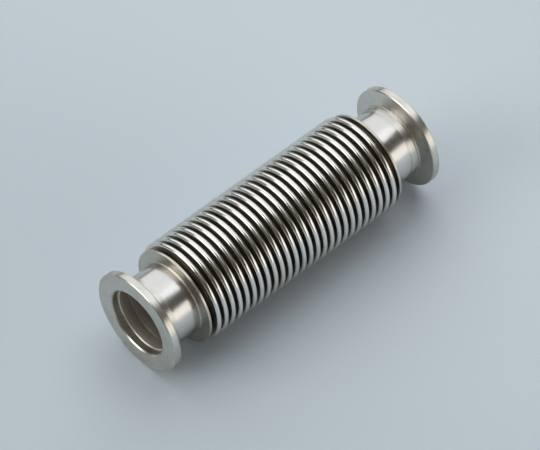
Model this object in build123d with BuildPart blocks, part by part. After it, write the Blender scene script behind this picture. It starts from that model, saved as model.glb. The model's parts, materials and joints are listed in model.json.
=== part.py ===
from build123d import *
import math
import os

# Vacuum bellows expansion joint with a quick flange at each end.
# Millimetres. The part's axis is X and its middle is the origin. +Z is up.
# The near end is the one at -X and the far end is its mirror image at +X.
os.makedirs("parts", exist_ok=True)

# --- driving dimensions: the whole joint ---
total_length = 127.0        # from sealing face to sealing face
flange_diameter = 40.0      # outside of a 25 mm quick flange
bore_diameter = 25.0        # clear way through the necks
crest_count = 26            # convolutions that stand up between the end rings

# --- flange ---
rim_width = 3.0             # flat cylinder that the clamp closes on
rim_edge_break = 0.3        # chamfer on both edges of the rim
back_taper_angle = 15.0     # slope of the clamping cone, in degrees
shoulder_height = 0.55      # radial height of the low ring where the cone ends
shoulder_width = 0.45       # axial width of that ring
shoulder_fillet = 0.35      # hollow corner between the ring and the hub
hub_length = 7.5            # sealing face to the end of the flange's own stub
recess_ledge = 0.6          # radial step from the bore out to the centring recess
recess_depth = 3.0          # depth of the centring recess
recess_chamfer = 0.5        # lead-in at the mouth of the recess

# --- neck tube and end ring ---
tube_wall = 1.5             # wall of the neck tube
ring_set_back = 17.5        # sealing face to the front of the end ring
ring_thickness = 1.0        # end ring, measured along the axis
ring_drop = 1.3             # how far the end ring stays inside the flange rim
ring_edge_break = 0.15      # chamfer on both rim edges of the end ring
weld_leg = 0.5              # fillet weld between the neck tube and the end ring

# --- bellows membrane ---
membrane_wall = 0.2         # formed sheet
crest_drop = 0.2            # how far the crests stay inside the flange rim
crest_share = 0.565         # part of each pitch that the crest takes up
end_gap_ratio = 1.4         # first and last gap compared with the others

# --- values that follow from those above ---
half_length = total_length / 2
flange_radius = flange_diameter / 2
bore_radius = bore_diameter / 2
recess_radius = bore_radius + recess_ledge
tube_radius = bore_radius + tube_wall
shoulder_radius = tube_radius + shoulder_height
ring_radius = flange_radius - ring_drop
ring_back = ring_set_back + ring_thickness
crest_radius = flange_radius - crest_drop
cone_length = (flange_radius - rim_edge_break - shoulder_radius) * math.tan(math.radians(back_taper_angle))
cone_end = rim_width + cone_length

bellows_length = total_length - 2 * ring_back
gap_share = 1 - crest_share
inner_gaps = crest_count - 1
pitch = bellows_length / (crest_count * crest_share + (inner_gaps + 2 * end_gap_ratio) * gap_share)
crest_width = pitch * crest_share
gap_width = pitch * gap_share
end_gap_width = gap_width * end_gap_ratio
first_crest_x = -half_length + ring_back + end_gap_width + crest_width / 2

# The sheet is formed to arcs: over each crest, and under each root.
crest_arc = crest_width / 2                 # outside of the bend over a crest
root_arc = gap_width / 2 + membrane_wall    # outside of the bend under a root, on the bore side
arch_centre = crest_radius - crest_arc
root_centre = tube_radius + root_arc        # the roots clear the neck tube's outside


def end_sign(end_name):
    """-1 for the near end, +1 for the far end."""
    return -1 if end_name == "near" else 1


def from_face(end_name, depth):
    """The X of a point that lies this deep behind an end's sealing face."""
    return end_sign(end_name) * (half_length - depth)


def corner_near(sketch, x, radius):
    """The sketch corner closest to a point, for rounding it."""
    return min(sketch.vertices(), key=lambda v: math.hypot(v.X - x, v.Y - radius))


# --- flanges: one turned piece each, sealing face, rim, cone, shoulder and hub stub ---
def make_flange(end_name):
    with BuildPart() as flange:
        with BuildSketch(Plane.XY) as section:
            with BuildLine():
                Polyline(
                    (from_face(end_name, 0), recess_radius + recess_chamfer),
                    (from_face(end_name, 0), flange_radius - rim_edge_break),
                    (from_face(end_name, rim_edge_break), flange_radius),
                    (from_face(end_name, rim_width - rim_edge_break), flange_radius),
                    (from_face(end_name, rim_width), flange_radius - rim_edge_break),
                    (from_face(end_name, cone_end), shoulder_radius),
                    (from_face(end_name, cone_end + shoulder_width), shoulder_radius),
                    (from_face(end_name, cone_end + shoulder_width), tube_radius),
                    (from_face(end_name, hub_length), tube_radius),
                    (from_face(end_name, hub_length), bore_radius),
                    (from_face(end_name, recess_depth), bore_radius),
                    (from_face(end_name, recess_depth), recess_radius),
                    (from_face(end_name, recess_chamfer), recess_radius),
                    close=True,
                )
            make_face()
            foot = corner_near(section.sketch, from_face(end_name, cone_end + shoulder_width), tube_radius)
            fillet(foot, radius=shoulder_fillet)
        revolve(axis=Axis.X)
    return flange


# --- neck tubes: plain tube from the hub's weld to the back of the end ring ---
def make_neck_tube(end_name):
    with BuildPart() as tube:
        with BuildSketch(Plane.XY):
            with BuildLine():
                Polyline(
                    (from_face(end_name, hub_length), bore_radius),
                    (from_face(end_name, hub_length), tube_radius),
                    (from_face(end_name, ring_back), tube_radius),
                    (from_face(end_name, ring_back), bore_radius),
                    close=True,
                )
            make_face()
        revolve(axis=Axis.X)
    return tube


# --- end rings: flat discs on the neck tubes, with their fillet weld on the open side ---
def make_end_ring(end_name):
    with BuildPart() as ring:
        with BuildSketch(Plane.XY):
            with BuildLine():
                Polyline(
                    (from_face(end_name, ring_back), tube_radius),
                    (from_face(end_name, ring_back), ring_radius - ring_edge_break),
                    (from_face(end_name, ring_back - ring_edge_break), ring_radius),
                    (from_face(end_name, ring_set_back + ring_edge_break), ring_radius),
                    (from_face(end_name, ring_set_back), ring_radius - ring_edge_break),
                    (from_face(end_name, ring_set_back), tube_radius + weld_leg),
                    (from_face(end_name, ring_set_back - weld_leg), tube_radius),
                    close=True,
                )
            make_face()
        revolve(axis=Axis.X)
    return ring


# --- crests: the upper part of one convolution, two side walls and the bend over them ---
def crest_x(number):
    """The X of a crest's middle. Crests are numbered from 1 at the near end."""
    return first_crest_x + (number - 1) * pitch


def make_crest(number):
    middle = crest_x(number)
    inner_arc = crest_arc - membrane_wall
    with BuildPart() as crest:
        with BuildSketch(Plane.XY):
            with BuildLine():
                Line((middle - crest_arc, root_centre), (middle - crest_arc, arch_centre))
                ThreePointArc(
                    (middle - crest_arc, arch_centre),
                    (middle, crest_radius),
                    (middle + crest_arc, arch_centre),
                )
                Line((middle + crest_arc, arch_centre), (middle + crest_arc, root_centre))
                Line((middle + crest_arc, root_centre), (middle + inner_arc, root_centre))
                Line((middle + inner_arc, root_centre), (middle + inner_arc, arch_centre))
                ThreePointArc(
                    (middle + inner_arc, arch_centre),
                    (middle, crest_radius - membrane_wall),
                    (middle - inner_arc, arch_centre),
                )
                Line((middle - inner_arc, arch_centre), (middle - inner_arc, root_centre))
                Line((middle - inner_arc, root_centre), (middle - crest_arc, root_centre))
            make_face()
        revolve(axis=Axis.X)
    return crest


# --- roots: the bend under each gap, which carries the flexing ---
def make_inner_root(number):
    """The root between crest `number` and the next one: half a ring-shaped channel."""
    middle = crest_x(number) + pitch / 2
    hollow_arc = root_arc - membrane_wall
    with BuildPart() as root:
        with BuildSketch(Plane.XY):
            with BuildLine():
                ThreePointArc(
                    (middle - root_arc, root_centre),
                    (middle, root_centre - root_arc),
                    (middle + root_arc, root_centre),
                )
                Line((middle + root_arc, root_centre), (middle + hollow_arc, root_centre))
                ThreePointArc(
                    (middle + hollow_arc, root_centre),
                    (middle, root_centre - hollow_arc),
                    (middle - hollow_arc, root_centre),
                )
                Line((middle - hollow_arc, root_centre), (middle - root_arc, root_centre))
            make_face()
        revolve(axis=Axis.X)
    return root


def make_end_root(end_name):
    """The first or last root: a quarter bend that runs on as a short cuff to the end ring."""
    outward = end_sign(end_name)
    crest_side = outward * (half_length - ring_back - end_gap_width)
    bend_x = crest_side + outward * (root_arc - membrane_wall)
    hollow_arc = root_arc - membrane_wall
    diagonal = math.sqrt(0.5)
    ring_x = from_face(end_name, ring_back)
    with BuildPart() as root:
        with BuildSketch(Plane.XY):
            with BuildLine():
                ThreePointArc(
                    (bend_x - outward * root_arc, root_centre),
                    (bend_x - outward * root_arc * diagonal, root_centre - root_arc * diagonal),
                    (bend_x, root_centre - root_arc),
                )
                Line((bend_x, root_centre - root_arc), (ring_x, root_centre - root_arc))
                Line((ring_x, root_centre - root_arc), (ring_x, root_centre - hollow_arc))
                Line((ring_x, root_centre - hollow_arc), (bend_x, root_centre - hollow_arc))
                ThreePointArc(
                    (bend_x, root_centre - hollow_arc),
                    (bend_x - outward * hollow_arc * diagonal, root_centre - hollow_arc * diagonal),
                    (bend_x - outward * hollow_arc, root_centre),
                )
                Line(
                    (bend_x - outward * hollow_arc, root_centre),
                    (bend_x - outward * root_arc, root_centre),
                )
            make_face()
        revolve(axis=Axis.X)
    return root


def save(piece, name):
    piece.part.label = name
    export_step(piece.part, f"parts/{name}.step")


for end_name in ("near", "far"):
    save(make_flange(end_name), f"{end_name}_flange")
    save(make_neck_tube(end_name), f"{end_name}_neck_tube")
    save(make_end_ring(end_name), f"{end_name}_end_ring")

for number in range(1, crest_count + 1):
    save(make_crest(number), f"crest_{number:02d}")

save(make_end_root("near"), "root_00")
for number in range(1, crest_count):
    save(make_inner_root(number), f"root_{number:02d}")
save(make_end_root("far"), f"root_{crest_count:02d}")

print(f"pitch {pitch:.4f}, crest {crest_width:.4f}, gap {gap_width:.4f}, end gap {end_gap_width:.4f}")
print(f"first crest at X {first_crest_x:.4f}, roots centred at radius {root_centre:.4f}")
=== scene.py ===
# %% [markdown]
# # A bellows joint between two quick flanges
#
# The object is a short length of thin steel sheet, formed into deep rings so that it
# can shorten, stretch and bend, and welded at both ends to a neck with a flange.
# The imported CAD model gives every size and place. This script builds the surfaces a
# camera sees round it, in the same frame and in metres: the joint lies along X, its
# middle is the origin, and +Z is up.

import json
import math

import bmesh
import bpy
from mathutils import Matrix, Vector
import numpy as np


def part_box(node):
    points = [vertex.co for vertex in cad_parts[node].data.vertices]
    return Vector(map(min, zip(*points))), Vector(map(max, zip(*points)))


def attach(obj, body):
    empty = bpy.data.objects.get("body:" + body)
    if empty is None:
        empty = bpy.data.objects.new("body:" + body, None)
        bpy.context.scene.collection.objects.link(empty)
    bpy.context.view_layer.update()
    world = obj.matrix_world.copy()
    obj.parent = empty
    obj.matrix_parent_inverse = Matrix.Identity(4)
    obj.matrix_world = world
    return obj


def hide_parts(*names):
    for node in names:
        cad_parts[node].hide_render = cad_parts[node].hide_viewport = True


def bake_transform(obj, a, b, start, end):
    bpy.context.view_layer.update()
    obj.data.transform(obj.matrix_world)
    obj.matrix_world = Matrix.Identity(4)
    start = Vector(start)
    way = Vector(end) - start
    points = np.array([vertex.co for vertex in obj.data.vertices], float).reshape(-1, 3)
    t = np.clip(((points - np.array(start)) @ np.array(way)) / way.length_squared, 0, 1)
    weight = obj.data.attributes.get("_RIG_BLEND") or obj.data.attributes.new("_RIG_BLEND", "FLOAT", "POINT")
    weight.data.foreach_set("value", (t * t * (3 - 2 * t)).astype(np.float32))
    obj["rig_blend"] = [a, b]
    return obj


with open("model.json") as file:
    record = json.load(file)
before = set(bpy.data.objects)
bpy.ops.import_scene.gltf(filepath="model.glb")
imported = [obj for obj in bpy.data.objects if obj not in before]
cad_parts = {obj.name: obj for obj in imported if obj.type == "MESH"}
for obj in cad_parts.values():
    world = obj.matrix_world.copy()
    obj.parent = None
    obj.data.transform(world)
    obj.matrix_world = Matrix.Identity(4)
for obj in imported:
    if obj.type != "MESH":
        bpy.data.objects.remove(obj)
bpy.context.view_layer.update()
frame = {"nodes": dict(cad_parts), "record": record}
scene = bpy.context.scene

# %% [markdown]
# ## Sizes
#
# The sizes that other pieces depend on are read from the CAD nodes' boxes, so that
# the looks follow the model if it is packed again with other values. A few details
# that a box can't show, such as the depth of a recess, are named here.

# %% Sizes from the CAD nodes
MM = 0.001


def across(node):
    """Half the width of a round node."""
    low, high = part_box(node)
    return (high.z - low.z) / 2


def along(node):
    """The node's lowest and highest X."""
    low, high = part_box(node)
    return low.x, high.x


crest_names = sorted(name for name in frame["nodes"] if name.startswith("crest_"))
root_names = sorted(name for name in frame["nodes"] if name.startswith("root_"))
nodes_of_bodies = frame["record"]["behaviour"]["bodies"]
body_of_node = {node: body for body, nodes in nodes_of_bodies.items() for node in nodes}

half_length = along("far_flange")[1]
flange_radius = across("far_flange")
tube_radius = across("far_neck_tube")
ring_radius = across("far_end_ring")
crest_radius = across("crest_01")
crest_width = along("crest_01")[1] - along("crest_01")[0]
crest_middles = [sum(along(name)) / 2 for name in crest_names]
pitch = crest_middles[1] - crest_middles[0]
gap_width = pitch - crest_width
hub_length = half_length - along("far_flange")[0]
ring_back = half_length - along("far_neck_tube")[0]
membrane_wall = 0.2 * MM
print(f"{len(crest_names)} crests, pitch {pitch / MM:.3f} mm, gap {gap_width / MM:.3f} mm")

# %% Sizes that the boxes don't show
bore_radius = tube_radius - 1.5 * MM
recess_radius = bore_radius + 0.6 * MM
recess_depth = 3.0 * MM
recess_chamfer = 0.5 * MM
rim_width = 3.0 * MM
rim_edge_break = 0.3 * MM
back_taper = math.tan(math.radians(15))
shoulder_radius = tube_radius + 0.55 * MM
shoulder_width = 0.45 * MM
cone_end = rim_width + (flange_radius - rim_edge_break - shoulder_radius) * back_taper
ring_thickness = 1.0 * MM
ring_front = ring_back - ring_thickness
weld_leg = 0.5 * MM
crest_arc = crest_width / 2
root_arc = gap_width / 2 + membrane_wall
arch_centre = crest_radius - crest_arc
root_centre = tube_radius + root_arc
print(f"neck {ring_front / MM:.1f} mm long, cone ends {cone_end / MM:.2f} mm behind the face")

# %% [markdown]
# ## Camera
#
# The joint is seen from above and in front of its near end, through a long lens, so
# that the two flanges look almost the same size. The camera is placed by the
# direction it looks in and its distance from the middle of the joint.

# %% Camera
view_azimuth = math.radians(-42.8)
view_elevation = math.radians(50.85)
camera_distance = 1.533
camera_lens_mm = 290.0
camera_sensor_mm = 36
aim_right = 0.36 * MM
aim_up = -0.73 * MM

camera_back = Vector(
    (
        math.sin(view_azimuth) * math.cos(view_elevation),
        -math.cos(view_azimuth) * math.cos(view_elevation),
        math.sin(view_elevation),
    )
)
camera_right = Vector((math.cos(view_azimuth), math.sin(view_azimuth), 0))
camera_up = camera_back.cross(camera_right)
camera_data = bpy.data.cameras.new("camera")
camera_data.lens = camera_lens_mm
camera_data.sensor_width = camera_sensor_mm
camera = bpy.data.objects.new("camera", camera_data)
camera.location = camera_back * camera_distance - camera_right * aim_right - camera_up * aim_up
camera.rotation_mode = "QUATERNION"
camera.rotation_quaternion = (-camera_back).to_track_quat("-Z", "Y")
camera_data.clip_end = 20
scene.collection.objects.link(camera)
scene.camera = camera
print("camera at", [round(v, 3) for v in camera.location])

# %% [markdown]
# ## Floor and light
#
# Bare steel has no colour of its own to speak of: it shows the room. One large soft
# light stands behind the joint and leans over it, so the top of every round surface
# mirrors it as a broad white band. It is three panels of different sizes, one over
# another, and a dim one overhead, because a light that fades at its edges gives a
# highlight that fades too. A warm card stands low on the other side, and between them
# the room is left dark, which gives the dark band that makes a tube look round. A last
# card faces the near mouth and lights the bore. The floor is pale and slightly glossy,
# and it is what the flange faces and the undersides mirror.

# %% Floor
floor_size = 6.0
floor_mesh = bpy.data.meshes.new("floor")
floor_corners = [(-1, -1), (1, -1), (1, 1), (-1, 1)]
floor_points = [(x * floor_size / 2, y * floor_size / 2, -flange_radius) for x, y in floor_corners]
floor_mesh.from_pydata(floor_points, [], [(0, 1, 2, 3)])
floor = bpy.data.objects.new("floor", floor_mesh)
scene.collection.objects.link(floor)
print("floor at Z", round(floor_points[0][2] / MM, 2), "mm")


# %% Softboxes
def softbox(name, toward, distance, width, height, brightness, colour):
    """A rectangular light that faces the joint from a direction. Brightness is its radiance."""
    data = bpy.data.lights.new(name, "AREA")
    data.shape = "RECTANGLE"
    data.size = width
    data.size_y = height
    data.energy = brightness * math.pi * width * height
    data.color = colour
    light = bpy.data.objects.new(name, data)
    direction = Vector(toward).normalized()
    light.location = direction * distance
    light.rotation_mode = "QUATERNION"
    light.rotation_quaternion = direction.to_track_quat("Z", "Y")
    scene.collection.objects.link(light)
    return light


key_width, key_height = 2.6, 3.0
for layer, size in enumerate((0.82, 0.94, 1.06)):
    key_sides = (key_width * size, key_height * size)
    softbox(f"key_{layer}", (0.24, 0.52, 0.82), 1.5, *key_sides, 1.02, (0.955, 0.985, 1.0))
softbox("overhead", (0.20, -0.30, 0.93), 1.5, 1.9, 0.6, 0.35, (1.0, 0.995, 0.98))
softbox("low_card", (0.43, -0.86, 0.22), 1.6, 2.6, 0.78, 1.3, (1.0, 0.95, 0.88))
softbox("mouth_card", (-0.82, 0.34, 0.46), 1.8, 1.3, 1.1, 2.7, (1.0, 0.96, 0.90))
world = bpy.data.worlds.new("room")
world.use_nodes = True
world.node_tree.nodes["Background"].inputs["Color"].default_value = (0.34, 0.31, 0.25, 1)
world.node_tree.nodes["Background"].inputs["Strength"].default_value = 0.22
scene.world = world
scene.view_settings.view_transform = "Standard"

# %% [markdown]
# ## Writing node maths as Python
#
# A procedural finish is a long sum. Written node by node it can't be read, so one
# small class wraps a socket and lets Python's own signs add the Math nodes. The same
# class serves the geometry trees further down, because they use the same Math node.


# %% A socket that does sums
class Wire:
    """An output socket. Sums on it add Math nodes, and node() adds any other node."""

    def __init__(self, tree, socket):
        self.tree = tree
        self.socket = socket

    def node(self, kind, settings=None, values=None, output=0):
        """Adds a node, first its settings, then its sockets' values or links."""
        added = self.tree.nodes.new(kind)
        for setting, value in (settings or {}).items():
            setattr(added, setting, value)
        for name, value in (values or {}).items():
            self.feed(added.inputs[name], value)
        return Wire(self.tree, added.outputs[output])

    def feed(self, socket, value):
        """Puts a value or a wire into a socket."""
        if isinstance(value, Wire):
            self.tree.links.new(value.socket, socket)
        elif isinstance(value, tuple) and len(value) == 3 and socket.type == "RGBA":
            socket.default_value = (*value, 1)
        else:
            socket.default_value = value

    def sum(self, operation, *others):
        values = dict(enumerate((self, *others)))
        return self.node("ShaderNodeMath", {"operation": operation}, values)

    def __add__(self, other):
        return self.sum("ADD", other)

    def __radd__(self, other):
        return self + other

    def __sub__(self, other):
        return self.sum("SUBTRACT", other)

    def __rsub__(self, other):
        return (self * -1) + other

    def __mul__(self, other):
        return self.sum("MULTIPLY", other)

    def __rmul__(self, other):
        return self * other

    def __truediv__(self, other):
        return self.sum("DIVIDE", other)

    def __pow__(self, other):
        return self.sum("POWER", other)

    def clamped(self, low, high):
        return self.sum("MAXIMUM", low).sum("MINIMUM", high)

    def span(self, low, high, to_low=0.0, to_high=1.0):
        """This value as a share of the way from low to high, smoothly, on a new scale."""
        values = {"Value": self, "From Min": low, "From Max": high, "To Min": to_low, "To Max": to_high}
        return self.node("ShaderNodeMapRange", {"interpolation_type": "SMOOTHSTEP"}, values)

    def toward(self, one, other):
        """A colour between two, by this share."""
        values = {"Factor": self, 6: one, 7: other}
        return self.node("ShaderNodeMix", {"data_type": "RGBA"}, values, 2)


print("sums on sockets are ready")

# %% [markdown]
# ## Steel finishes
#
# Every surface is bare stainless steel, but each is worked another way. A turned
# flange has fine rings left by the cutting tool, a drawn tube is polished round and
# round, and formed sheet is bright with soft bands where the tooling pressed it. All
# of them share one plan: the steel's colour drifts a little, roughness follows the
# direction of the work, and a shallow bump breaks up the mirror. The pattern is
# read from the piece's own coordinates, where the distance from the X axis and the
# place along it are both at hand.


# %% The plan that all steel finishes share
def start_finish(name):
    """A new material: the first wire holds its coordinates, and the shader waits for the rest."""
    material = bpy.data.materials.new(name)
    material.use_nodes = True
    tree = material.node_tree
    tree.nodes.clear()
    shader = tree.nodes.new("ShaderNodeBsdfPrincipled")
    output = tree.nodes.new("ShaderNodeOutputMaterial")
    tree.links.new(shader.outputs["BSDF"], output.inputs["Surface"])
    shader.inputs["Metallic"].default_value = 1.0
    # Steel dulls a little where it is seen edge-on, which helps its outline to stand out from the floor.
    shader.inputs["Specular Tint"].default_value = (0.74, 0.72, 0.66, 1)
    place = Wire(tree, tree.nodes.new("ShaderNodeTexCoord").outputs["Object"])
    return material, shader, place


def round_coordinates(place):
    """Distance along the axis and from it, in millimetres."""
    x = place.node("ShaderNodeSeparateXYZ", None, {"Vector": place}, 0)
    y = Wire(place.tree, x.socket.node.outputs[1])
    z = Wire(place.tree, x.socket.node.outputs[2])
    radius = (y * y + z * z) ** 0.5
    return x / MM, radius / MM


def rings(place, distance, per_mm, detail=3.0):
    """Rings of uneven strength across a distance, 0 to 1, as a turning tool leaves them."""
    values = {"W": distance * per_mm, "Scale": 1.0, "Detail": detail}
    return place.node("ShaderNodeTexNoise", {"noise_dimensions": "1D"}, values)


def cloud(place, scale, detail=2.0):
    """Soft patches, 0 to 1. The scale is in patches per metre."""
    return place.node("ShaderNodeTexNoise", None, {"Vector": place, "Scale": scale, "Detail": detail})


def finish_surface(place, shader, colour, roughness, height, depth):
    """Feeds the shader. The height is 0 to 1 and the depth is its real size in metres."""
    place.feed(shader.inputs["Base Color"], colour)
    place.feed(shader.inputs["Roughness"], roughness)
    bump = place.node("ShaderNodeBump", None, {"Height": height, "Distance": depth, "Strength": 1.0})
    place.feed(shader.inputs["Normal"], bump)


def drawn_bore(place, x, radius, colour, roughness):
    """The bore is left as drawn: duller, rougher and browner than the outside, with streaks round it."""
    starts, complete = bore_radius / MM + 0.45, bore_radius / MM + 0.15
    inside = radius.span(starts, complete)
    streaks = rings(place, x, 4.0, 5.0).span(0.35, 0.65)
    drawn = streaks.toward((0.68, 0.62, 0.55), (0.92, 0.87, 0.80))
    return inside.toward(colour, drawn), roughness + inside * 0.20


print("finish plan ready")


# %% Turned steel for the flanges and end rings
def turned_steel(name, bright, dark, smooth, rough, ring_depth):
    material, shader, place = start_finish(name)
    x, radius = round_coordinates(place)
    # Feed marks run round the piece: they cross the face by radius and the rim by X.
    across_both = radius + x * 1.37
    coarse = rings(place, across_both, 2.2)
    fine = rings(place, across_both, 9.0)
    patches = cloud(place, 160.0)
    share = (coarse * 0.55 + patches * 0.45).clamped(0.0, 1.0).span(0.3, 0.7)
    colour = share.toward(dark, bright)
    roughness = (fine * 0.5 + patches * 0.5).span(0.25, 0.75, smooth, rough)
    colour, roughness = drawn_bore(place, x, radius, colour, roughness)
    finish_surface(place, shader, colour, roughness, fine * 0.6 + coarse * 0.4, ring_depth)
    return material


feed_mark_depth = 0.004 * MM
flange_steel = turned_steel(
    "turned_flange_steel", (0.68, 0.67, 0.63), (0.57, 0.56, 0.52), 0.22, 0.34, feed_mark_depth
)
ring_steel = turned_steel(
    "turned_ring_steel", (0.62, 0.605, 0.55), (0.50, 0.485, 0.44), 0.24, 0.36, feed_mark_depth
)
print("turned finishes:", flange_steel.name, ring_steel.name)


# %% Polished tube, with the straw tint that welding leaves
def polished_tube(name):
    material, shader, place = start_finish(name)
    x, radius = round_coordinates(place)
    round_marks = rings(place, x, 5.0)
    patches = cloud(place, 220.0)
    # Heat from the weld tints a narrow band in front of each end ring.
    from_weld = (x.sum("ABSOLUTE") - (half_length - ring_front) / MM).sum("ABSOLUTE")
    tint = from_weld.span(1.6, 0.0, 0.0, 0.75) * patches.span(0.2, 0.6, 0.6, 1.0)
    steel = patches.toward((0.62, 0.61, 0.60), (0.70, 0.69, 0.68))
    colour = tint.toward(steel, (0.62, 0.50, 0.30))
    roughness = (round_marks * 0.6 + patches * 0.4).span(0.3, 0.7, 0.18, 0.28)
    colour, roughness = drawn_bore(place, x, radius, colour, roughness)
    mark_depth = 0.004 * MM
    finish_surface(place, shader, colour, roughness, round_marks, mark_depth)
    return material


tube_steel = polished_tube("polished_tube_steel")
print("tube finish:", tube_steel.name)


# %% Bright formed sheet for the bellows
def formed_sheet(name):
    material, shader, place = start_finish(name)
    x, radius = round_coordinates(place)
    bands = rings(place, x + radius * 0.8, 3.0)
    patches = cloud(place, 130.0)
    # Down in the gaps the sheet is painted with shade, straw and then dark, where little light reaches.
    depth = radius.span(arch_centre / MM + 0.4, arch_centre / MM - 0.7)
    far_down = radius.span(arch_centre / MM - 0.7, arch_centre / MM - 2.6)
    mixed = bands * 0.5 + patches * 0.5
    steel = mixed.span(0.3, 0.7).toward((0.74, 0.735, 0.715), (0.86, 0.855, 0.835))
    painted_gap_shade = far_down.toward((0.66, 0.61, 0.53), (0.25, 0.22, 0.18))
    colour = depth.toward(steel, painted_gap_shade)
    roughness = mixed.span(0.3, 0.7, 0.13, 0.20) + depth * 0.15
    band_depth = 0.0015 * MM
    finish_surface(place, shader, colour, roughness, bands, band_depth)
    return material


sheet_steel = formed_sheet("formed_sheet_steel")
print("sheet finish:", sheet_steel.name)


# %% Weld metal
def weld_metal(name):
    material, shader, place = start_finish(name)
    patches = cloud(place, 900.0, 3.0)
    colour = patches.span(0.3, 0.7).toward((0.60, 0.54, 0.42), (0.76, 0.71, 0.60))
    roughness = patches.span(0.3, 0.7, 0.22, 0.36)
    ripple_depth = 0.01 * MM
    finish_surface(place, shader, colour, roughness, patches, ripple_depth)
    return material


weld_steel = weld_metal("weld_steel")
print("weld finish:", weld_steel.name)


# %% Floor paper
def floor_paper(name):
    material, shader, place = start_finish(name)
    shader.inputs["Metallic"].default_value = 0.0
    patches = cloud(place, 3.0)
    grain = cloud(place, 900.0, 3.0)
    # The paper is painted a little paler toward +X, painted light that stands in for a stronger light at
    # that end, and its surface is not quite even.
    along_joint = place.node("ShaderNodeSeparateXYZ", None, {"Vector": place}, 0)
    painted_light_toward_far_end = along_joint.span(-0.13, 0.13)
    share = painted_light_toward_far_end * 0.75 + (patches * 0.7 + grain * 0.3).span(0.3, 0.7) * 0.25
    colour = share.toward((0.55, 0.635, 0.72), (0.68, 0.775, 0.86))
    roughness = grain.span(0.3, 0.7, 0.38, 0.48)
    grain_depth = 0.02 * MM
    finish_surface(place, shader, colour, roughness, grain, grain_depth)
    return material


floor.data.materials.append(floor_paper("floor_paper"))
print("floor finish:", floor.data.materials[0].name)

# %% [markdown]
# ## Turned pieces
#
# A flange, a tube and a disc are all made on a lathe, so they are made that way here:
# half a cross-section is drawn and spun round the axis. Real edges are never quite
# sharp, and it is the small round on an edge that catches the light, so every corner
# of the outline gets its own radius before it is spun. Spinning in mesh code, and not
# with a Screw modifier, keeps the seam welded and the corners exactly on the outline.


# %% Outline with rounded corners
def rounded_outline(corners, steps=4):
    """Each corner is its depth from the sealing face, its radius and its rounding. Returns plain points."""
    outline = []
    count = len(corners)
    for index, (depth, radius, rounding) in enumerate(corners):
        here = Vector((depth, radius))
        if rounding <= 0:
            outline.append(here)
            continue
        before = Vector(corners[index - 1][:2])
        after = Vector(corners[(index + 1) % count][:2])
        to_before = (before - here).normalized()
        to_after = (after - here).normalized()
        half_angle = to_before.angle(to_after) / 2
        reach = rounding / math.tan(half_angle)
        reach = min(reach, 0.45 * (before - here).length, 0.45 * (after - here).length)
        radius_used = reach * math.tan(half_angle)
        centre = here + (to_before + to_after).normalized() * (radius_used / math.sin(half_angle))
        first = here + to_before * reach - centre
        last = here + to_after * reach - centre
        for step in range(steps + 1):
            share = step / steps
            arm = first.lerp(last, share)
            outline.append(centre + arm.normalized() * radius_used)
    return outline


print("outline helper ready")


# %% Spin an outline round the axis
def spin_piece(name, outline, side, material, segments=256, sharp_degrees=28):
    """side is -1 for the near end and +1 for the far. The outline gives depth from that end's face."""
    mesh = bpy.data.meshes.new(name)
    shape = bmesh.new()
    loops = []
    for point in outline:
        x = side * (half_length - point[0])
        loop = []
        for step in range(segments):
            angle = math.tau * step / segments
            loop.append(shape.verts.new((x, point[1] * math.sin(angle), point[1] * math.cos(angle))))
        loops.append(loop)
    for index, loop in enumerate(loops):
        following = loops[(index + 1) % len(loops)]
        for step in range(segments):
            forward = (step + 1) % segments
            shape.faces.new((loop[step], loop[forward], following[forward], following[step]))
    bmesh.ops.recalc_face_normals(shape, faces=shape.faces)
    shape.to_mesh(mesh)
    shape.free()
    mesh.shade_smooth()
    mesh.set_sharp_from_angle(angle=math.radians(sharp_degrees))
    mesh.materials.append(material)
    piece = bpy.data.objects.new(name, mesh)
    scene.collection.objects.link(piece)
    return piece


print("lathe ready")

# %% [markdown]
# ## Flanges
#
# A quick flange is gripped by a hinged clamp that rides up its sloping back, and
# sealed by a ring held on a centring piece in the recess of its face. The face is
# flat, the rim is a short cylinder, and the cone ends in a small raised shoulder.
# Inside, the recess has a chamfered mouth and a narrow floor whose inner edge is
# rounded into the bore.

# %% Make both flanges
flange_corners = [
    (0.0, recess_radius + recess_chamfer, 0.10 * MM),
    (0.0, flange_radius - rim_edge_break, 0.10 * MM),
    (rim_edge_break, flange_radius, 0.10 * MM),
    (rim_width - rim_edge_break, flange_radius, 0.10 * MM),
    (rim_width, flange_radius - rim_edge_break, 0.12 * MM),
    (cone_end, shoulder_radius, 0.15 * MM),
    (cone_end + shoulder_width, shoulder_radius, 0.12 * MM),
    (cone_end + shoulder_width, tube_radius, 0.35 * MM),
    (hub_length, tube_radius, 0.05 * MM),
    (hub_length, bore_radius, 0.05 * MM),
    (recess_depth, bore_radius, 0.32 * MM),
    (recess_depth, recess_radius, 0.12 * MM),
    (recess_chamfer, recess_radius, 0.10 * MM),
]
flange_outline = rounded_outline(flange_corners)
SIDES = {"near": -1, "far": 1}
for end_name, side in SIDES.items():
    flange = spin_piece(f"{end_name}_flange_turned", flange_outline, side, flange_steel, segments=320)
    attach(flange, f"{end_name}_end")
    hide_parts(f"{end_name}_flange")
print(f"flange outline has {len(flange_outline)} points")

# %% [markdown]
# ## Neck tubes and end rings
#
# The neck is plain tube, butt-welded to the flange's stub. The end ring is a thin
# disc a little smaller than the crests: the neck is welded into it on one side and
# the bellows on the other.

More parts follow.
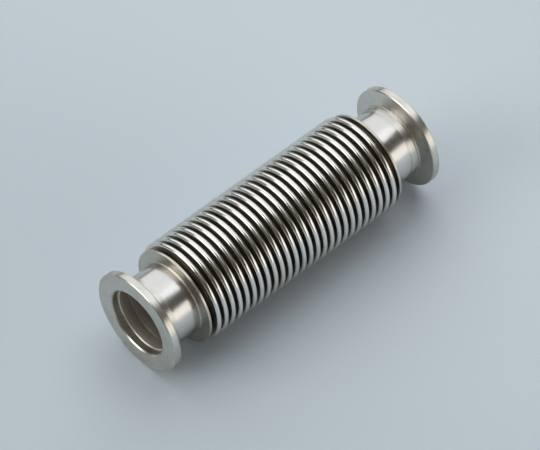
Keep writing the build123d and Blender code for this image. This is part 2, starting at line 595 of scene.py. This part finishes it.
# %% Make the necks and end rings
tube_corners = [
    (hub_length, bore_radius, 0.04 * MM),
    (hub_length, tube_radius, 0.04 * MM),
    (ring_back, tube_radius, 0.04 * MM),
    (ring_back, bore_radius, 0.10 * MM),
]
ring_corners = [
    (ring_back, tube_radius, 0.0),
    (ring_back, ring_radius, 0.18 * MM),
    (ring_front, ring_radius, 0.18 * MM),
    (ring_front, tube_radius + weld_leg, 0.10 * MM),
    (ring_front - weld_leg, tube_radius, 0.0),
]
for end_name, side in SIDES.items():
    tube = spin_piece(f"{end_name}_neck_tube_drawn", rounded_outline(tube_corners), side, tube_steel)
    ring = spin_piece(f"{end_name}_end_ring_turned", rounded_outline(ring_corners), side, ring_steel)
    for piece, node, slot in ((tube, "neck_tube", "tube_steel"), (ring, "end_ring", "ring_steel")):
        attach(piece, f"{end_name}_end")
        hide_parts(f"{end_name}_{node}")
print("necks and end rings made")

# %% [markdown]
# ## The bellows
#
# The membrane's shape follows a rule, so Geometry Nodes make it. One tree makes one
# ring of folded sheet: its section is a bend with two straight walls, drawn outside
# and inside the sheet, and swept round the axis. A crest bends over the top and a
# root bends under, so the same tree makes both, with the bend turned over. Each ring
# is written out as a plain mesh for the body that it moves with.
#
# The sweep starts as a circle carried round a circle, only to get a closed skin with
# no seam. Two stored numbers, the way along the section and the way round the ring,
# then place every point by the rule.


# %% The tree for one ring of folded sheet
def build_ring_tree():
    tree = bpy.data.node_groups.new("ring_of_folded_sheet", "GeometryNodeTree")
    tree.interface.new_socket("Geometry", in_out="INPUT", socket_type="NodeSocketGeometry")
    number_inputs = {
        "Middle": 0.0,
        "Bend centre": arch_centre,
        "Outer bend": crest_arc,
        "Sheet": membrane_wall,
        "Wall": 1.0 * MM,
        "Facing": 1.0,
        "From": -1.0,
        "To": 1.0,
    }
    for name, value in number_inputs.items():
        socket = tree.interface.new_socket(name, in_out="INPUT", socket_type="NodeSocketFloat")
        socket.default_value = value
    for name, value in {"Section steps": 48, "Ring steps": 240}.items():
        socket = tree.interface.new_socket(name, in_out="INPUT", socket_type="NodeSocketInt")
        socket.default_value = value
    tree.interface.new_socket("Finish", in_out="INPUT", socket_type="NodeSocketMaterial")
    tree.interface.new_socket("Geometry", in_out="OUTPUT", socket_type="NodeSocketGeometry")
    given = tree.nodes.new("NodeGroupInput")
    start = Wire(tree, given.outputs["Middle"])

    def value(name):
        return Wire(tree, given.outputs[name])

    def stored_way(points):
        """A closed curve of that many points, each with its number stored on it."""
        curve = start.node("GeometryNodeCurvePrimitiveCircle", None, {"Resolution": points})
        index = start.node("GeometryNodeInputIndex")
        stored = tree.nodes.new("GeometryNodeCaptureAttribute")
        stored.capture_items.new("FLOAT", "number")
        start.feed(stored.inputs["Geometry"], curve)
        start.feed(stored.inputs["number"], index)
        return Wire(tree, stored.outputs["Geometry"]), Wire(tree, stored.outputs["number"])

    section, section_number = stored_way(value("Section steps"))
    ring, ring_number = stored_way(value("Ring steps"))
    skin = start.node("GeometryNodeCurveToMesh", None, {"Curve": ring, "Profile Curve": section})

    # The section's first half runs along the outside of the sheet, the second half back inside.
    half_steps = value("Section steps") / 2
    inside = section_number.sum("GREATER_THAN", half_steps - 0.5)
    outward_run = section_number / (half_steps - 1)
    inward_run = 1 - (section_number - half_steps) / (half_steps - 1)
    share = outward_run + inside * (inward_run - outward_run)
    bend = value("Outer bend") - inside * value("Sheet")
    quarter = bend * (math.pi / 2)
    reach = quarter + value("Wall")
    run = (value("From") + share * (value("To") - value("From"))) * reach
    in_bend = run.sum("MAXIMUM", quarter * -1).sum("MINIMUM", quarter)
    angle = in_bend / bend
    sideways = bend * angle.sum("SINE")
    upward = bend * angle.sum("COSINE") - (run.sum("ABSOLUTE") - in_bend.sum("ABSOLUTE"))
    radius = value("Bend centre") + value("Facing") * upward
    turn = ring_number / value("Ring steps") * math.tau
    places = {
        "X": value("Middle") + sideways,
        "Y": radius * turn.sum("SINE"),
        "Z": radius * turn.sum("COSINE"),
    }
    place = start.node("ShaderNodeCombineXYZ", None, places)
    placed = start.node("GeometryNodeSetPosition", None, {"Geometry": skin, "Position": place})
    smooth = start.node("GeometryNodeSetShadeSmooth", None, {"Geometry": placed})
    plain = start.node("GeometryNodeRealizeInstances", None, {"Geometry": smooth})
    finished = start.node("GeometryNodeSetMaterial", None, {"Geometry": plain, "Material": value("Finish")})
    output = tree.nodes.new("NodeGroupOutput")
    start.feed(output.inputs["Geometry"], finished)
    return tree


ring_tree = build_ring_tree()
print("ring tree has", len(ring_tree.nodes), "nodes")


# %% Run a tree and keep its result as a plain mesh
def made_by(tree, name, settings, sharp_degrees=50):
    """Runs a geometry tree with these settings and returns an object with a plain mesh."""
    carrier = bpy.data.objects.new(name + "_carrier", bpy.data.meshes.new(name + "_carrier"))
    scene.collection.objects.link(carrier)
    modifier = carrier.modifiers.new("made", "NODES")
    modifier.node_group = tree
    for item in tree.interface.items_tree:
        if item.in_out == "INPUT" and item.name in settings:
            modifier[item.identifier] = settings[item.name]
    graph = bpy.context.evaluated_depsgraph_get()
    mesh = bpy.data.meshes.new_from_object(carrier.evaluated_get(graph), depsgraph=graph)
    carrier_mesh = carrier.data
    bpy.data.objects.remove(carrier)
    bpy.data.meshes.remove(carrier_mesh)
    shape = bmesh.new()
    shape.from_mesh(mesh)
    bmesh.ops.recalc_face_normals(shape, faces=shape.faces)
    shape.to_mesh(mesh)
    shape.free()
    for stored in [a.name for a in mesh.attributes if a.name == "number"]:
        mesh.attributes.remove(mesh.attributes[stored])
    mesh.set_sharp_from_angle(angle=math.radians(sharp_degrees))
    mesh.name = name
    piece = bpy.data.objects.new(name, mesh)
    scene.collection.objects.link(piece)
    return piece


print("tree runner ready")

# %% Make the crests
for name, middle in zip(crest_names, crest_middles):
    crest_settings = {
        "Middle": middle,
        "Bend centre": arch_centre,
        "Outer bend": crest_arc,
        "Wall": arch_centre - root_centre,
        "Facing": 1.0,
        "Finish": sheet_steel,
    }
    crest = made_by(ring_tree, f"{name}_sheet", crest_settings)
    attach(crest, body_of_node[name])
    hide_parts(name)
low_corner = min(v.co.x for v in crest.data.vertices)
print("last crest:", len(crest.data.polygons), "faces, starts at X", round(low_corner / MM, 3))

# %% [markdown]
# ## The roots
#
# All movement of the bellows happens under its gaps. At each gap one body slides and
# the next one turns, so the sheet below is made in two strips: the first stretches
# with the slide and the second bends with the hinge. The strips meet where neither
# has to crowd its metal, a little past the middle of the bend. The first and last
# gap also have a short straight cuff that runs to the end ring.


# %% One strip of root sheet
def bend_strip(name, middle, start_share, end_share, body_a, body_b, start_x, end_x):
    """Part of a bend under a gap, from one share of the bend to another, across two bodies."""
    strip_settings = {
        "Middle": middle,
        "Bend centre": root_centre,
        "Outer bend": root_arc,
        "Wall": 0.0,
        "Facing": -1.0,
        "From": start_share,
        "To": end_share,
        "Section steps": 24,
        "Ring steps": 144,
        "Finish": sheet_steel,
    }
    strip = made_by(ring_tree, name, strip_settings)
    return join_bodies(strip, body_a, body_b, start_x, end_x)


def cuff_strip(name, from_x, to_x, body_a, body_b, start_x, end_x):
    """Part of a straight cuff between two places along the axis."""
    side = 1 if from_x > 0 else -1
    cuff_corners = [
        (half_length - abs(from_x), tube_radius, 0.0),
        (half_length - abs(from_x), tube_radius + membrane_wall, 0.0),
        (half_length - abs(to_x), tube_radius + membrane_wall, 0.0),
        (half_length - abs(to_x), tube_radius, 0.0),
    ]
    strip = spin_piece(name, rounded_outline(cuff_corners), side, sheet_steel, segments=144)
    return join_bodies(strip, body_a, body_b, start_x, end_x)


def join_bodies(strip, body_a, body_b, start_x, end_x):
    if body_a == body_b:
        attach(strip, body_a)
    else:
        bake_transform(strip, body_a, body_b, start=(start_x, 0, 0), end=(end_x, 0, 0))
    return strip


print("strip helpers ready")

# %% Make the roots
slide_share = 0.27
bodies_in_line = ["near_end"] + [body_of_node[name] for name in crest_names] + ["far_end"]
for gap, name in enumerate(root_names):
    before, own, after = bodies_in_line[gap], body_of_node[name], bodies_in_line[gap + 1]
    if gap == 0:
        ring_x = -(half_length - ring_back)
        bend_x = crest_middles[0] - crest_arc - (root_arc - membrane_wall)
        first = cuff_strip(f"{name}_cuff", ring_x, bend_x, before, own, ring_x, bend_x)
        bend_strip(f"{name}_bend", bend_x, 0.0, 1.0, own, after, bend_x, bend_x + root_arc)
    elif gap == len(root_names) - 1:
        ring_x = half_length - ring_back
        bend_x = crest_middles[-1] + crest_arc + (root_arc - membrane_wall)
        left_x = bend_x - root_arc
        split_x = bend_x + root_arc * slide_share * math.pi / 2
        first = bend_strip(f"{name}_bend", bend_x, -1.0, 0.0, before, own, left_x, split_x)
        cuff_strip(f"{name}_cuff_inner", bend_x, split_x, before, own, left_x, split_x)
        cuff_strip(f"{name}_cuff_outer", split_x, ring_x, own, after, split_x, ring_x)
    else:
        middle = (crest_middles[gap - 1] + crest_middles[gap]) / 2
        left_x, right_x = middle - root_arc, middle + root_arc
        split_x = middle + root_arc * math.sin(slide_share * math.pi / 2)
        if own == after:
            first = bend_strip(f"{name}_bend", middle, -1.0, 1.0, before, after, left_x, right_x)
        else:
            first = bend_strip(f"{name}_slide", middle, -1.0, slide_share, before, own, left_x, split_x)
            bend_strip(f"{name}_bend", middle, slide_share, 1.0, own, after, split_x, right_x)
    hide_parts(name)
print(len(root_names), "roots made")

# %% [markdown]
# ## Weld beads
#
# A weld run by hand or by a turning fixture freezes as a row of overlapping scales.
# Geometry Nodes lay small flattened beads round a circle, each turned to face along
# it and a little different in size, and the row is written out as one mesh.


# %% The tree for a row of weld scales
def build_weld_tree():
    tree = bpy.data.node_groups.new("row_of_weld_scales", "GeometryNodeTree")
    tree.interface.new_socket("Geometry", in_out="INPUT", socket_type="NodeSocketGeometry")
    number_inputs = {
        "Place": 0.0,
        "Circle": tube_radius,
        "Length": 1.0 * MM,
        "Width": 0.5 * MM,
        "Height": 0.2 * MM,
    }
    for name, value in number_inputs.items():
        socket = tree.interface.new_socket(name, in_out="INPUT", socket_type="NodeSocketFloat")
        socket.default_value = value
    tree.interface.new_socket("Count", in_out="INPUT", socket_type="NodeSocketInt").default_value = 120
    tree.interface.new_socket("Finish", in_out="INPUT", socket_type="NodeSocketMaterial")
    tree.interface.new_socket("Geometry", in_out="OUTPUT", socket_type="NodeSocketGeometry")
    given = tree.nodes.new("NodeGroupInput")
    start = Wire(tree, given.outputs["Place"])

    def value(name):
        return Wire(tree, given.outputs[name])

    points = start.node("GeometryNodePoints", None, {"Count": value("Count")})
    number = start.node("GeometryNodeInputIndex")
    turn = number / value("Count") * math.tau
    wander_settings = {"data_type": "FLOAT"}
    wander_values = {"Min": 0.9, "Max": 1.12, "ID": number, "Seed": 7}
    size = Wire(tree, start.node("FunctionNodeRandomValue", wander_settings).socket.node.outputs["Value"])
    random_node = size.socket.node
    for socket in random_node.inputs:
        if socket.enabled and socket.name in wander_values:
            start.feed(socket, wander_values[socket.name])
    places = {
        "X": value("Place"),
        "Y": value("Circle") * turn.sum("SINE"),
        "Z": value("Circle") * turn.sum("COSINE"),
    }
    place = start.node("ShaderNodeCombineXYZ", None, places)
    placed = start.node("GeometryNodeSetPosition", None, {"Geometry": points, "Position": place})
    scale = start.node("GeometryNodeMeshIcoSphere", None, {"Radius": 0.5, "Subdivisions": 2})
    sizes = {"X": value("Width") * size, "Y": value("Length") * size, "Z": value("Height") * size}
    shape = start.node("ShaderNodeCombineXYZ", None, sizes)
    turned = start.node("ShaderNodeCombineXYZ", None, {"X": turn * -1})
    laid = start.node(
        "GeometryNodeInstanceOnPoints",
        None,
        {"Points": placed, "Instance": scale, "Rotation": turned, "Scale": shape},
    )
    plain = start.node("GeometryNodeRealizeInstances", None, {"Geometry": laid})
    smooth = start.node("GeometryNodeSetShadeSmooth", None, {"Geometry": plain})
    finished = start.node("GeometryNodeSetMaterial", None, {"Geometry": smooth, "Material": value("Finish")})
    output = tree.nodes.new("NodeGroupOutput")
    start.feed(output.inputs["Geometry"], finished)
    return tree


weld_tree = build_weld_tree()
print("weld tree has", len(weld_tree.nodes), "nodes")

# %% Lay the welds
for end_name, side in SIDES.items():
    ring_weld = {
        "Place": side * (half_length - ring_front + weld_leg * 0.45),
        "Circle": tube_radius + weld_leg * 0.42,
        "Length": 1.05 * MM,
        "Width": 0.45 * MM,
        "Height": 0.22 * MM,
        "Count": 150,
        "Finish": weld_steel,
    }
    hub_weld = {
        "Place": side * (half_length - hub_length),
        "Circle": tube_radius - 0.02 * MM,
        "Length": 0.7 * MM,
        "Width": 0.30 * MM,
        "Height": 0.06 * MM,
        "Count": 200,
        "Finish": tube_steel,
    }
    for name, weld_settings in (("ring_weld", ring_weld), ("hub_weld", hub_weld)):
        weld = made_by(weld_tree, f"{end_name}_{name}", weld_settings, sharp_degrees=180)
        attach(weld, f"{end_name}_end")
print("welds laid, last one has", len(weld.data.polygons), "faces")
